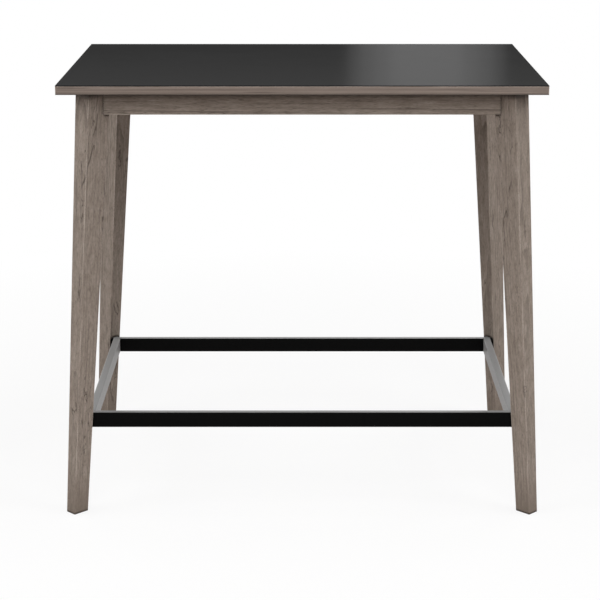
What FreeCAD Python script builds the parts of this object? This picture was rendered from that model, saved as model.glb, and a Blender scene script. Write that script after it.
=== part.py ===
import FreeCAD, Part
import math
import os

from FreeCAD import Placement, Rotation, Vector

# Pub table, bar height, with a footrest ring.
# Millimetres.  X runs along the table, Y from the front to the back, Z up.
# The origin is on the floor, under the centre of the top.
# Every corner of the table is the same, so each corner piece is drawn once,
# for the front left corner (-X, -Y), and mirrored to the other three.

# ---------------------------------------------------------------- driving dimensions

# Tabletop: a particle board core with a laminate above, a backing sheet below
# and wooden lippings round its four edges
TOP_LENGTH = 1149.0
TOP_DEPTH = 762.0
TABLE_HEIGHT = 1069.2
LAMINATE_THICKNESS = 2.2
CORE_THICKNESS = 19.0
BACKER_THICKNESS = 1.0
LIPPING_THICKNESS = 3.0
LIPPING_ARRIS_RADIUS = 0.8
LAMINATE_EDGE_BEVEL = 0.3

# Legs: tapered, splayed outwards, and turned 45 degrees in plan, so that the
# narrow outer face looks out of the corner
FOOT_CENTRE_X = 559.5
FOOT_CENTRE_Y = 356.0
LEG_SPLAY_X = 65.0                  # from head to foot
LEG_SPLAY_Y = 48.5
FOOT_WIDTH = 32.0
FOOT_LENGTH = 42.0
HEAD_WIDTH = 50.5
HEAD_LENGTH = 65.5
LEG_ARRIS_RADIUS = 1.5

# Aprons, under the top between the legs
APRON_HEIGHT = 56.5
APRON_THICKNESS = 18.0
APRON_FACE_X = 506.5
APRON_FACE_Y = 318.5
APRON_ARRIS_RADIUS = 1.0
APRON_END_BEVEL = 1.2               # on the outer arris that meets the leg

# Corner blocks, each clamped to the inner face of its leg by two hanger bolts
BLOCK_THICKNESS = 30.0
BLOCK_HEIGHT = 50.0
BOLT_DIAMETER = 8.0
BOLT_DEPTH_IN_LEG = 42.0
BOLT_LEVELS = (14.0, 36.0)          # below the underside of the top
BOLT_TAIL = 5.0
WASHER_DIAMETER = 20.0
WASHER_THICKNESS = 1.6
NUT_ACROSS_FLATS = 13.0
NUT_THICKNESS = 6.5
BLOCK_BOLT_HOLE_DIAMETER = 9.0

# Wood screws: shank diameter, head diameter, length under the head
BLOCK_SCREW = (4.0, 7.5, 28.0)
TOP_SCREW = (4.5, 8.5, 58.0)
BRACKET_SCREW = (3.5, 7.0, 15.0)
PLATE_SCREW = (5.0, 10.0, 25.0)
BLOCK_SCREW_LEVELS = (10.0, 40.0)   # below the underside of the top
BLOCK_SCREW_SINK = 6.0              # of the head, below the block's cut face
BLOCK_COUNTERBORE_DIAMETER = 8.5
TOP_SCREW_OFFSET = 19.0             # from the middle of the block, clear of its bolts
SCREW_POINT_SHARE = 0.2             # width of a screw's point, as a share of its shank
BORE_CLEARANCE = 0.1                # all round a shank in its hole

# Steel angle brackets that hold the top to the aprons
BRACKET_LEG = 24.0
BRACKET_WIDTH = 20.0
BRACKET_THICKNESS = 2.0
BRACKET_BEND_RADIUS = 3.0
BRACKET_HOLE_FROM_BACK = 14.5
LONG_APRON_BRACKETS_X = (-215.0, 215.0)

# Footrest ring: rectangular steel tube, mitred and welded, with its corners
# cut off where the corner plates are welded on; below the tube each plate
# narrows to a tab for its screw
RING_HALF_LENGTH = 530.5
RING_HALF_DEPTH = 330.5
RING_TOP = 250.5
TUBE_HEIGHT = 38.0
TUBE_WIDTH = 19.0
TUBE_WALL = 1.5
TUBE_CORNER_RADIUS = 2.2
PLATE_THICKNESS = 3.0
PLATE_WIDTH = 32.0
PLATE_HEIGHT = 64.0
PLATE_CORNER_RADIUS = 9.0
TAB_WIDTH = 14.0
TAB_CORNER_RADIUS = 5.0
PLATE_HOLE_ABOVE_END = 13.0

# Nail-on glides under the feet
GLIDE_DIAMETER = 22.0
GLIDE_HEIGHT = 1.5
GLIDE_NAIL_DIAMETER = 2.5
GLIDE_NAIL_LENGTH = 16.0

# ---------------------------------------------------------------- derived dimensions

TOP_UNDERSIDE = TABLE_HEIGHT - LAMINATE_THICKNESS - CORE_THICKNESS - BACKER_THICKNESS
APRON_BOTTOM = TOP_UNDERSIDE - APRON_HEIGHT
BLOCK_BOTTOM = TOP_UNDERSIDE - BLOCK_HEIGHT
RING_MIDDLE = RING_TOP - TUBE_HEIGHT / 2.0

DIAGONAL = math.sqrt(0.5)
INWARD = Vector(DIAGONAL, DIAGONAL, 0.0)       # from the front left corner to the centre
ACROSS = Vector(DIAGONAL, -DIAGONAL, 0.0)      # level, along the leg's narrow faces
UP = Vector(0.0, 0.0, 1.0)

FAR = 200.0                                    # larger than any piece that a cutter trims
OVERCUT = 5.0                                  # how far a drill starts and ends outside the wood
SMALL = 0.01                                   # lengths closer than this count as equal

# Small round pieces are turned with flat sides, which keeps the table light to draw.
# A shank and its hole are drawn along the same direction, so that their flats line up.
SCREW_SIDES = 8
BOLT_SIDES = 12
CORNER_STEPS = 4                               # flats to each rounded corner of a plate

CORNERS = {
    "front_left": (1, 1),
    "front_right": (-1, 1),
    "back_left": (1, -1),
    "back_right": (-1, -1),
}


# ---------------------------------------------------------------- general helpers

def save(node, shape):
    shape.exportStep("parts/" + node + ".step")


def save_group(node, solids):
    save(node, Part.makeCompound(solids))


def box_between(low, high):
    """A box from its lowest to its highest corner."""
    size = high - low
    return Part.makeBox(size.x, size.y, size.z, low)


def placed(shape, origin, z_direction):
    """A shape drawn about the origin, moved so that its Z axis points along z_direction."""
    result = shape.copy()
    result.Placement = Placement(origin, Rotation(UP, z_direction))
    return result


def turned(profile, sides):
    """A solid turned about Z with flat sides, from the radius and height of each step."""
    rings = []
    for radius, height in profile:
        turns = [2.0 * math.pi * side / sides for side in range(sides)]
        rings.append([Vector(radius * math.cos(turn), radius * math.sin(turn), height) for turn in turns])
    return stacked(rings)


def rod(start, direction, length, diameter, sides=BOLT_SIDES):
    radius = diameter / 2.0
    return placed(turned([(radius, 0.0), (radius, length)], sides), start, direction)


def slab_beyond(point, direction):
    """A large block with one face through the point, on the side the direction points to."""
    block = Part.makeBox(2 * FAR, 2 * FAR, FAR, Vector(-FAR, -FAR, 0.0))
    return placed(block, point, direction)


def polygon(points):
    return Part.makePolygon(points + [points[0]])


def stacked(outlines):
    """A solid with flat sides through outlines with matching corners, one above the other."""
    count = len(outlines[0])
    sides = [outlines[0], outlines[-1]]
    for lower, upper in zip(outlines, outlines[1:]):
        for start in range(count):
            end = (start + 1) % count
            sides.append([lower[start], lower[end], upper[end], upper[start]])
    shell = Part.Shell([Part.Face(polygon(side)) for side in sides])
    shell.sewShape()
    solid = Part.Solid(shell)
    if solid.Orientation == "Reversed":
        # the outlines ran clockwise seen from the last one, which turns the solid inside out
        return stacked([outline[::-1] for outline in outlines])
    return solid


def line_through_plane(start, direction, plane_point, plane_normal):
    """The point where a straight line meets a plane."""
    travel = (plane_point - start).dot(plane_normal) / direction.dot(plane_normal)
    return start + direction * travel


def mirrored(shape, signs):
    """A front left piece moved to the corner that the signs name."""
    result = shape.copy()
    if signs[0] < 0:
        result = result.mirror(Vector(), Vector(1, 0, 0))
    if signs[1] < 0:
        result = result.mirror(Vector(), Vector(0, 1, 0))
    return result


def at_each_corner(solids):
    """The solids of the front left corner, repeated at all four corners."""
    return [mirrored(solid, signs) for signs in CORNERS.values() for solid in solids]


def save_at_corners(name, shape):
    for corner, signs in CORNERS.items():
        save(name + "_" + corner, mirrored(shape, signs))


def wood_screw(head_centre, direction, sizes):
    """A countersunk screw: its flat head at head_centre, its point along the direction."""
    shank, head, length = sizes
    head_depth = (head - shank) / 2.0
    profile = [
        (head / 2.0, 0.0),
        (shank / 2.0, head_depth),
        (shank / 2.0, length - shank),
        (shank / 2.0 * SCREW_POINT_SHARE, length),
    ]
    return placed(turned(profile, SCREW_SIDES), head_centre, direction)


def screw_hole(head_centre, direction, sizes):
    """The drilled hole with its countersink, a little larger than the screw."""
    shank, head, length = sizes
    clearance = 2 * BORE_CLEARANCE
    return wood_screw(head_centre, direction, (shank + clearance, head + clearance, length + clearance))


# ---------------------------------------------------------------- leg geometry

def leg_section(height):
    """Centre, width and length of the leg's section at a height above the floor."""
    share = (height - GLIDE_HEIGHT) / (TOP_UNDERSIDE - GLIDE_HEIGHT)
    centre = Vector(LEG_SPLAY_X * share - FOOT_CENTRE_X, LEG_SPLAY_Y * share - FOOT_CENTRE_Y, height)
    width = FOOT_WIDTH + (HEAD_WIDTH - FOOT_WIDTH) * share
    length = FOOT_LENGTH + (HEAD_LENGTH - FOOT_LENGTH) * share
    return centre, width, length


def leg_corner(along, across, height):
    """A corner of the section: along and across are -1 or 1, or 0 for the middle."""
    centre, width, length = leg_section(height)
    return centre + INWARD * (along * length / 2.0) + ACROSS * (across * width / 2.0)


def leg_outline(height):
    turns = ((-1, -1), (-1, 1), (1, 1), (1, -1))
    return [leg_corner(along, across, height) for along, across in turns]


def inner_face_point(height):
    """The middle of the leg's inner face, which looks to the centre of the table."""
    return leg_corner(1, 0, height)


UP_INNER_FACE = (inner_face_point(TOP_UNDERSIDE) - inner_face_point(0.0)).normalize()
INNER_NORMAL = ACROSS.cross(UP_INNER_FACE).normalize()
if INNER_NORMAL.dot(INWARD) < 0:
    INNER_NORMAL = INNER_NORMAL.negative()


def apron_side_plane(across):
    """A point and the normal of a broad side of the leg, which an apron end seats on."""
    point = leg_corner(1, across, TOP_UNDERSIDE)
    up_edge = point - leg_corner(1, across, 0.0)
    return point, up_edge.cross(INWARD).normalize()


# ---------------------------------------------------------------- fixing positions

def hanger_bolt_heads():
    """Where the two hanger bolts cross the leg's inner face."""
    return [inner_face_point(TOP_UNDERSIDE - level) for level in BOLT_LEVELS]


def block_screw_places():
    """Head centre and direction of the four screws from a corner block into its aprons."""
    inner_point = inner_face_point(TOP_UNDERSIDE) + INNER_NORMAL * BLOCK_THICKNESS
    apron_y = -(APRON_FACE_Y - APRON_THICKNESS)
    apron_x = -(APRON_FACE_X - APRON_THICKNESS)
    inner_line = inner_point.x + inner_point.y       # the block's inner face: x + y
    out = BLOCK_THICKNESS / DIAGONAL / 2.0           # from the apron, where the block is half cut away
    places = []
    for level in BLOCK_SCREW_LEVELS:
        height = TOP_UNDERSIDE - level
        front = Vector(inner_line - apron_y - out, apron_y + out - BLOCK_SCREW_SINK, height)
        side = Vector(apron_x + out - BLOCK_SCREW_SINK, inner_line - apron_x - out, height)
        places.append((front, Vector(0, -1, 0)))
        places.append((side, Vector(-1, 0, 0)))
    return places


def top_screw_place():
    """The screw that goes up through the corner block into the top."""
    start = inner_face_point(BLOCK_BOTTOM) + INNER_NORMAL * (BLOCK_THICKNESS / 2.0)
    shifted = start + ACROSS * TOP_SCREW_OFFSET
    return Vector(shifted.x, shifted.y, BLOCK_BOTTOM), UP


def plate_origin():
    """The top of the corner plate, on the leg's inner face."""
    return inner_face_point(RING_TOP)


def plate_screw_place():
    """Head centre and direction of the screw from the corner plate into the leg."""
    below_top = PLATE_HEIGHT - PLATE_HOLE_ABOVE_END
    centre = plate_origin() - UP_INNER_FACE * below_top + INNER_NORMAL * PLATE_THICKNESS
    return centre, INNER_NORMAL.negative()


# ---------------------------------------------------------------- tabletop

def make_top():
    half_length = TOP_LENGTH / 2.0
    half_depth = TOP_DEPTH / 2.0
    core_x = half_length - LIPPING_THICKNESS
    core_y = half_depth - LIPPING_THICKNESS
    core_bottom = TOP_UNDERSIDE + BACKER_THICKNESS
    core_top = core_bottom + CORE_THICKNESS

    laminate = box_between(
        Vector(-half_length, -half_depth, core_top),
        Vector(half_length, half_depth, TABLE_HEIGHT),
    )
    rim = [edge for edge in laminate.Edges if edge.BoundBox.ZMin > TABLE_HEIGHT - SMALL]
    save("top_laminate", laminate.makeChamfer(LAMINATE_EDGE_BEVEL, rim))

    drilled = Part.makeCompound(core_screw_holes())
    core = box_between(Vector(-core_x, -core_y, core_bottom), Vector(core_x, core_y, core_top))
    save("top_core", core.cut(drilled))

    backer = box_between(Vector(-core_x, -core_y, TOP_UNDERSIDE), Vector(core_x, core_y, core_bottom))
    save("top_backer", backer.cut(drilled))

    for name, side in (("front", -1), ("back", 1)):
        save("lipping_" + name, lipping(2 * half_length, side * (half_depth - LIPPING_THICKNESS / 2), 0))
    for name, side in (("left", -1), ("right", 1)):
        save("lipping_" + name, lipping(2 * core_y, side * (half_length - LIPPING_THICKNESS / 2), 90))


def lipping(length, offset, turn):
    """An edge strip, its lower outer arris eased, between the laminate and the underside."""
    height = CORE_THICKNESS + BACKER_THICKNESS
    half = LIPPING_THICKNESS / 2.0
    strip = Part.makeBox(length, LIPPING_THICKNESS, height, Vector(-length / 2.0, -half, 0.0))
    outer = half if (offset > 0) == (turn == 0) else -half
    arris = [
        edge for edge in strip.Edges
        if edge.BoundBox.ZMax < SMALL and edge.BoundBox.XLength > length - SMALL
        and abs(edge.BoundBox.Center.y - outer) < SMALL
    ]
    strip = strip.makeFillet(LIPPING_ARRIS_RADIUS, arris)
    if turn == 0:
        strip.Placement = Placement(Vector(0.0, offset, TOP_UNDERSIDE), Rotation())
    else:
        strip.Placement = Placement(Vector(offset, 0.0, TOP_UNDERSIDE), Rotation(UP, turn))
    return strip


def core_screw_holes():
    """The holes in the top for the corner block screws and the bracket screws."""
    head, direction = top_screw_place()
    holes = at_each_corner([screw_hole(head, direction, TOP_SCREW)])
    for head, direction in bracket_screw_places():
        if direction.z > 0.5:
            holes.append(screw_hole(head, direction, BRACKET_SCREW))
    return holes


# ---------------------------------------------------------------- legs and glides

def make_legs():
    leg = stacked([leg_outline(GLIDE_HEIGHT), leg_outline(TOP_UNDERSIDE)])
    long_edges = [edge for edge in leg.Edges if edge.Length > TOP_UNDERSIDE / 2.0]
    leg = leg.makeFillet(LEG_ARRIS_RADIUS, long_edges)

    holes = []
    bolt_hole_depth = BOLT_DEPTH_IN_LEG + BORE_CLEARANCE
    for face_point in hanger_bolt_heads():
        holes.append(rod(face_point - INNER_NORMAL * bolt_hole_depth, INNER_NORMAL,
                         bolt_hole_depth + OVERCUT, BOLT_DIAMETER + 2 * BORE_CLEARANCE))
    head, direction = plate_screw_place()
    holes.append(screw_hole(head, direction, PLATE_SCREW))
    nail = leg_section(GLIDE_HEIGHT)[0]
    holes.append(rod(nail, UP, GLIDE_NAIL_LENGTH + BORE_CLEARANCE,
                     GLIDE_NAIL_DIAMETER + 2 * BORE_CLEARANCE))
    save_at_corners("leg", leg.cut(Part.makeCompound(holes)))


def make_glides():
    radius = GLIDE_DIAMETER / 2.0
    nail = GLIDE_NAIL_DIAMETER / 2.0
    profile = [
        (radius - GLIDE_HEIGHT / 2.0, 0.0),
        (radius, GLIDE_HEIGHT / 2.0),
        (radius, GLIDE_HEIGHT),
        (nail, GLIDE_HEIGHT),
        (nail, GLIDE_HEIGHT + GLIDE_NAIL_LENGTH),
    ]
    foot = leg_section(GLIDE_HEIGHT)[0]
    save_at_corners("foot_glide", placed(turned(profile, BOLT_SIDES), Vector(foot.x, foot.y, 0.0), UP))


# ---------------------------------------------------------------- aprons and corner blocks

def apron_board(outer_face, along, inner_side, leg_plane_left, leg_plane_right):
    """A board between two legs, its ends cut to seat on their sloping broad sides."""
    ends = []
    for plane_point, plane_normal in (leg_plane_left, leg_plane_right):
        corners = []
        for depth, height in ((0, APRON_BOTTOM), (APRON_THICKNESS, APRON_BOTTOM),
                              (APRON_THICKNESS, TOP_UNDERSIDE), (0, TOP_UNDERSIDE)):
            start = outer_face + inner_side * depth + UP * height
            corners.append(line_through_plane(start, along, plane_point, plane_normal))
        ends.append(corners)
    board = stacked(ends)
    end_edges = [
        edge for edge in board.Edges
        if edge.BoundBox.ZLength > APRON_HEIGHT - SMALL
        and abs((edge.CenterOfMass - outer_face).dot(inner_side)) < SMALL
    ]
    board = board.makeChamfer(APRON_END_BEVEL, end_edges)
    low_edges = [
        edge for edge in board.Edges
        if edge.Length > 2 * FAR and edge.BoundBox.ZMax < APRON_BOTTOM + SMALL
    ]
    return board.makeFillet(APRON_ARRIS_RADIUS, low_edges)


def mirrored_plane(plane, flip):
    point, normal = plane
    return (Vector(point.x * flip[0], point.y * flip[1], point.z),
            Vector(normal.x * flip[0], normal.y * flip[1], normal.z))


def make_aprons():
    front_plane = apron_side_plane(1)
    side_plane = apron_side_plane(-1)
    front = apron_board(Vector(0, -APRON_FACE_Y, 0), Vector(1, 0, 0), Vector(0, 1, 0),
                        front_plane, mirrored_plane(front_plane, (-1, 1)))
    left = apron_board(Vector(-APRON_FACE_X, 0, 0), Vector(0, 1, 0), Vector(1, 0, 0),
                       side_plane, mirrored_plane(side_plane, (1, -1)))
    holes = []
    for head, direction in block_screw_places():
        holes.append(screw_hole(head, direction, BLOCK_SCREW))
    holes = at_each_corner(holes)
    for head, direction in bracket_screw_places():
        if abs(direction.z) < 0.5:
            holes.append(screw_hole(head, direction, BRACKET_SCREW))
    drilled = Part.makeCompound(holes)
    save("apron_front", front.cut(drilled))
    save("apron_back", mirrored(front, (1, -1)).cut(drilled))
    save("apron_left", left.cut(drilled))
    save("apron_right", mirrored(left, (-1, 1)).cut(drilled))


def corner_block_outline(height):
    """The block in plan: on the leg's sloping inner face, and between the aprons."""
    face = inner_face_point(height)
    back_plane_point = face + INNER_NORMAL * BLOCK_THICKNESS
    back = line_through_plane(face, INWARD, back_plane_point, INNER_NORMAL)
    apron_y = -(APRON_FACE_Y - APRON_THICKNESS)
    apron_x = -(APRON_FACE_X - APRON_THICKNESS)
    face_sum = face.x + face.y
    back_sum = back.x + back.y
    return [
        Vector(face_sum - apron_y, apron_y, height),
        Vector(back_sum - apron_y, apron_y, height),
        Vector(apron_x, back_sum - apron_x, height),
        Vector(apron_x, face_sum - apron_x, height),
    ]


def make_corner_blocks():
    block = stacked([corner_block_outline(BLOCK_BOTTOM), corner_block_outline(TOP_UNDERSIDE)])
    holes = []
    for face_point in hanger_bolt_heads():
        holes.append(rod(face_point - INNER_NORMAL * OVERCUT, INNER_NORMAL,
                         BLOCK_THICKNESS + 2 * OVERCUT, BLOCK_BOLT_HOLE_DIAMETER))
    for head, direction in block_screw_places():
        holes.append(screw_hole(head, direction, BLOCK_SCREW))
        holes.append(rod(head, direction.negative(), BLOCK_THICKNESS, BLOCK_COUNTERBORE_DIAMETER))
    head, direction = top_screw_place()
    holes.append(screw_hole(head, direction, TOP_SCREW))
    save_at_corners("corner_block", block.cut(Part.makeCompound(holes)))


# ---------------------------------------------------------------- fasteners under the top

def make_hanger_bolts():
    bolts = []
    washers = []
    nuts = []
    for face_point in hanger_bolt_heads():
        start = face_point - INNER_NORMAL * BOLT_DEPTH_IN_LEG
        beyond = BLOCK_THICKNESS + WASHER_THICKNESS + NUT_THICKNESS + BOLT_TAIL
        radius = BOLT_DIAMETER / 2.0
        profile = [
            (radius * SCREW_POINT_SHARE, 0.0),
            (radius, radius),
            (radius, BOLT_DEPTH_IN_LEG + beyond),
        ]
        bolts.append(placed(turned(profile, BOLT_SIDES), start, INNER_NORMAL))

        seat = face_point + INNER_NORMAL * BLOCK_THICKNESS
        bore = rod(seat - INNER_NORMAL * OVERCUT, INNER_NORMAL,
                   WASHER_THICKNESS + NUT_THICKNESS + 2 * OVERCUT, BOLT_DIAMETER + 2 * BORE_CLEARANCE)
        washers.append(rod(seat, INNER_NORMAL, WASHER_THICKNESS, WASHER_DIAMETER).cut(bore))
        nut = rod(seat + INNER_NORMAL * WASHER_THICKNESS, INNER_NORMAL, NUT_THICKNESS,
                  NUT_ACROSS_FLATS / math.cos(math.pi / 6.0), 6)
        nuts.append(nut.cut(bore))
    save_group("hanger_bolts", at_each_corner(bolts))
    save_group("hanger_washers", at_each_corner(washers))
    save_group("hanger_nuts", at_each_corner(nuts))


def make_block_and_top_screws():
    screws = [wood_screw(head, direction, BLOCK_SCREW) for head, direction in block_screw_places()]
    save_group("block_screws", at_each_corner(screws))
    head, direction = top_screw_place()
    save_group("top_screws", at_each_corner([wood_screw(head, direction, TOP_SCREW)]))


def bracket_places():
    """Where the angle brackets sit: the corner under the top, and the way they face."""
    face_y = APRON_FACE_Y - APRON_THICKNESS
    face_x = APRON_FACE_X - APRON_THICKNESS
    places = []
    for along in LONG_APRON_BRACKETS_X:
        places.append((Vector(along, -face_y, TOP_UNDERSIDE), Vector(0, 1, 0)))
        places.append((Vector(along, face_y, TOP_UNDERSIDE), Vector(0, -1, 0)))
    places.append((Vector(-face_x, 0, TOP_UNDERSIDE), Vector(1, 0, 0)))
    places.append((Vector(face_x, 0, TOP_UNDERSIDE), Vector(-1, 0, 0)))
    return places


def bracket_screw_places():
    """Two screws to each bracket: one up into the top, one into the apron."""
    out = BRACKET_HOLE_FROM_BACK
    places = []
    for corner, facing in bracket_places():
        places.append((corner + facing * out - UP * BRACKET_THICKNESS, UP))
        places.append((corner - UP * out + facing * BRACKET_THICKNESS, facing.negative()))
    return places


def make_brackets():
    leg = BRACKET_LEG
    wall = BRACKET_THICKNESS
    outline = [(0, 0), (leg, 0), (leg, -wall), (wall, -wall), (wall, -leg), (0, -leg)]
    brackets = []
    for corner, facing in bracket_places():
        sideways = facing.cross(UP)
        points = [corner + facing * out + UP * up - sideways * (BRACKET_WIDTH / 2.0) for out, up in outline]
        angle = Part.Face(polygon(points)).extrude(sideways * BRACKET_WIDTH)
        bend = corner + facing * wall - UP * wall
        inner_edges = [edge for edge in angle.Edges if edge.CenterOfMass.distanceToPoint(bend) < SMALL]
        brackets.append(angle.makeFillet(BRACKET_BEND_RADIUS, inner_edges))
    holes = [screw_hole(head, direction, BRACKET_SCREW) for head, direction in bracket_screw_places()]
    drilled = Part.makeCompound(holes)
    save_group("top_brackets", [bracket.cut(drilled).Solids[0] for bracket in brackets])
    screws = [wood_screw(head, direction, BRACKET_SCREW) for head, direction in bracket_screw_places()]
    save_group("bracket_screws", screws)


# ---------------------------------------------------------------- footrest ring

def rounded_rectangle(width, height, radius):
    """A face in the XZ plane, centred on the origin, with rounded corners."""
    blank = Part.makeBox(width, 1.0, height, Vector(-width / 2.0, 0.0, -height / 2.0))
    corners = [edge for edge in blank.Edges if edge.BoundBox.YLength > SMALL]
    rounded = blank.makeFillet(radius, corners)
    return min(rounded.Faces, key=lambda face: face.CenterOfMass.y)


def tube_along_y(length):
    """A hollow rectangular tube, centred on the origin, along Y."""
    outside = rounded_rectangle(TUBE_WIDTH, TUBE_HEIGHT, TUBE_CORNER_RADIUS)
    inside = rounded_rectangle(TUBE_WIDTH - 2 * TUBE_WALL, TUBE_HEIGHT - 2 * TUBE_WALL,
                               TUBE_CORNER_RADIUS - TUBE_WALL)
    start = Vector(0, -length / 2.0, 0)
    run = Vector(0, length, 0)
    outer_bar = outside.translated(start).extrude(run)
    inner_bar = inside.translated(start).extrude(run)
    return outer_bar.cut(inner_bar)


def corner_cutters(side):
    """What trims a tube at the front left corner: the mitre, and the cut-off corner.

    side is 1 to keep the side rail and -1 to keep the front rail.
    """
    outer_corner = Vector(-RING_HALF_LENGTH, -RING_HALF_DEPTH, RING_MIDDLE)
    mitre = slab_beyond(outer_corner, ACROSS * side)
    plate_face = plate_origin() + INNER_NORMAL * PLATE_THICKNESS
    cut_off = slab_beyond(plate_face, INNER_NORMAL.negative())
    return [mitre, cut_off]


def make_footrest():
    side = tube_along_y(2 * RING_HALF_DEPTH)
    side = side.translated(Vector(-RING_HALF_LENGTH + TUBE_WIDTH / 2.0, 0, RING_MIDDLE))
    for flip in ((1, 1), (1, -1)):
        for cutter in corner_cutters(1):
            side = side.cut(mirrored(cutter, flip))
    save("footrest_rail_left", side)
    save("footrest_rail_right", mirrored(side, (-1, 1)))

    front = tube_along_y(2 * RING_HALF_LENGTH)
    front.rotate(Vector(), UP, 90)
    front = front.translated(Vector(0, -RING_HALF_DEPTH + TUBE_WIDTH / 2.0, RING_MIDDLE))
    for flip in ((1, 1), (-1, 1)):
        for cutter in corner_cutters(-1):
            front = front.cut(mirrored(cutter, flip))
    save("footrest_rail_front", front)
    save("footrest_rail_back", mirrored(front, (1, -1)))


def eased(corners):
    """An outline from square corners and their radii, each rounded in flat steps."""
    points = []
    for number, (corner, radius) in enumerate(corners):
        if radius == 0:
            points.append(corner)
            continue
        before = (corners[number - 1][0] - corner).normalize()
        after = (corners[(number + 1) % len(corners)][0] - corner).normalize()
        centre = corner + (before + after) * radius
        for step in range(CORNER_STEPS + 1):
            turn = math.pi / 2.0 * step / CORNER_STEPS
            points.append(centre - after * (radius * math.cos(turn)) - before * (radius * math.sin(turn)))
    return points


def make_corner_plates():
    """Plates welded to the cut-off corners of the ring, flat on the legs' inner faces."""
    half_plate = PLATE_WIDTH / 2.0
    half_tab = TAB_WIDTH / 2.0
    right_side = [
        (Vector(half_plate, 0, 0), PLATE_CORNER_RADIUS),
        (Vector(half_plate, 0, -TUBE_HEIGHT), PLATE_CORNER_RADIUS),
        (Vector(half_tab, 0, -TUBE_HEIGHT), 0),
        (Vector(half_tab, 0, -PLATE_HEIGHT), TAB_CORNER_RADIUS),
    ]
    left_side = [(Vector(-point.x, 0, point.z), radius) for point, radius in right_side[::-1]]
    outline = Part.Face(polygon(eased(right_side + left_side)))
    plate = outline.extrude(Vector(0, PLATE_THICKNESS, 0))
    plate.Placement = Placement(plate_origin(), Rotation(ACROSS.negative(), INNER_NORMAL, UP_INNER_FACE, "ZYX"))
    head, direction = plate_screw_place()
    plate = plate.cut(screw_hole(head, direction, PLATE_SCREW))
    save_at_corners("footrest_plate", plate)
    save_group("footrest_screws", at_each_corner([wood_screw(head, direction, PLATE_SCREW)]))


# ---------------------------------------------------------------- build

os.makedirs("parts", exist_ok=True)
make_top()
make_legs()
make_glides()
make_aprons()
make_corner_blocks()
make_hanger_bolts()
make_block_and_top_screws()
make_brackets()
make_footrest()
make_corner_plates()
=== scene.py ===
import math

import bmesh
import bpy
import numpy as np
from mathutils import Matrix, Vector


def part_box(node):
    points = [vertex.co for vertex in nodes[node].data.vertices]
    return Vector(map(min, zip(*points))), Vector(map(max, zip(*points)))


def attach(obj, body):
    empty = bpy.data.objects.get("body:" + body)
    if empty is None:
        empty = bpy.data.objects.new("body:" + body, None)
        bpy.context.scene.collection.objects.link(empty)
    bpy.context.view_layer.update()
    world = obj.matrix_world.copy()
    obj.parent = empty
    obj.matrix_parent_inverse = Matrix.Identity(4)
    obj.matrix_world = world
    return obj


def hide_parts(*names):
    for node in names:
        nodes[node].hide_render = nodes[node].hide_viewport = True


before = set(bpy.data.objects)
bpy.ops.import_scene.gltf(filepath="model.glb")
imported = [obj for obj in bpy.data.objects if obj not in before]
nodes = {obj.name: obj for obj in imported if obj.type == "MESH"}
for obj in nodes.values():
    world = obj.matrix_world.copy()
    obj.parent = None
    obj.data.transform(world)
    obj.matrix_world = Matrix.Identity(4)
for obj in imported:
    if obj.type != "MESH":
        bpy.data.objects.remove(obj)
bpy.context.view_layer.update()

# Pub table, bar height, with a footrest ring.
# Metres.  X runs along the table, Y from the front to the back, Z up.

SIDES = ("front", "back", "left", "right")
CORNERS = ("front_left", "front_right", "back_left", "back_right")
UP = (0.0, 0.0, 1.0)

# ---------------------------------------------------------------- nodes

MIX_SHARE, MIX_FIRST, MIX_SECOND, MIX_RESULT = 0, 6, 7, 2     # a Mix node's sockets for colours


def rgb(red, green, blue):
    """A colour in linear light from its 0 to 255 screen values."""
    def linear(value):
        value /= 255.0
        return value / 12.92 if value <= 0.04045 else ((value + 0.055) / 1.055) ** 2.4
    return (linear(red), linear(green), linear(blue), 1.0)


def add_node(tree, kind, inputs=None, **settings):
    """A node with its settings; inputs are plain values or other nodes' outputs."""
    made = tree.nodes.new(kind)
    for name, value in settings.items():
        setattr(made, name, value)
    for socket, value in (inputs or {}).items():
        if isinstance(value, bpy.types.NodeSocket):
            tree.links.new(value, made.inputs[socket])
        else:
            made.inputs[socket].default_value = value
    return made


def calc(tree, operation, first, second=0.0, third=None):
    """The result of one sum on two or three numbers."""
    inputs = {0: first, 1: second}
    if third is not None:
        inputs[2] = third
    return add_node(tree, "ShaderNodeMath", inputs, operation=operation).outputs[0]


def times(tree, first, second):
    return calc(tree, "MULTIPLY", first, second)


def less(tree, first, second):
    return calc(tree, "SUBTRACT", first, second)


def vector_calc(tree, operation, first, second):
    inputs = {0: first, 1: second}
    return add_node(tree, "ShaderNodeVectorMath", inputs, operation=operation).outputs[0]


def remap(tree, value, low, high, new_low=0.0, new_high=1.0):
    inputs = {"Value": value, "From Min": low, "From Max": high,
              "To Min": new_low, "To Max": new_high}
    return add_node(tree, "ShaderNodeMapRange", inputs, clamp=True).outputs["Result"]


def between(tree, share, low, high):
    """The low value where the share is 0, and the high one where it is 1."""
    return remap(tree, share, 0.0, 1.0, low, high)


def mix_colour(tree, share, first, second):
    inputs = {MIX_SHARE: share, MIX_FIRST: first, MIX_SECOND: second}
    made = add_node(tree, "ShaderNodeMix", inputs, data_type="RGBA", clamp_factor=True)
    return made.outputs[MIX_RESULT]


def noise(tree, vector, scale, detail, roughness=0.5, distortion=0.0):
    inputs = {"Vector": vector, "Scale": scale, "Detail": detail,
              "Roughness": roughness, "Distortion": distortion}
    return add_node(tree, "ShaderNodeTexNoise", inputs).outputs["Fac"]


def object_place(tree):
    """Where a point lies in the shared frame."""
    return add_node(tree, "ShaderNodeTexCoord").outputs["Object"]


def true_normal(tree):
    return add_node(tree, "ShaderNodeNewGeometry").outputs["True Normal"]


def part_of(tree, vector, axis):
    """The X, Y or Z of a vector."""
    return add_node(tree, "ShaderNodeSeparateXYZ", {0: vector}).outputs[axis]


# ---------------------------------------------------------------- camera and studio

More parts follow.
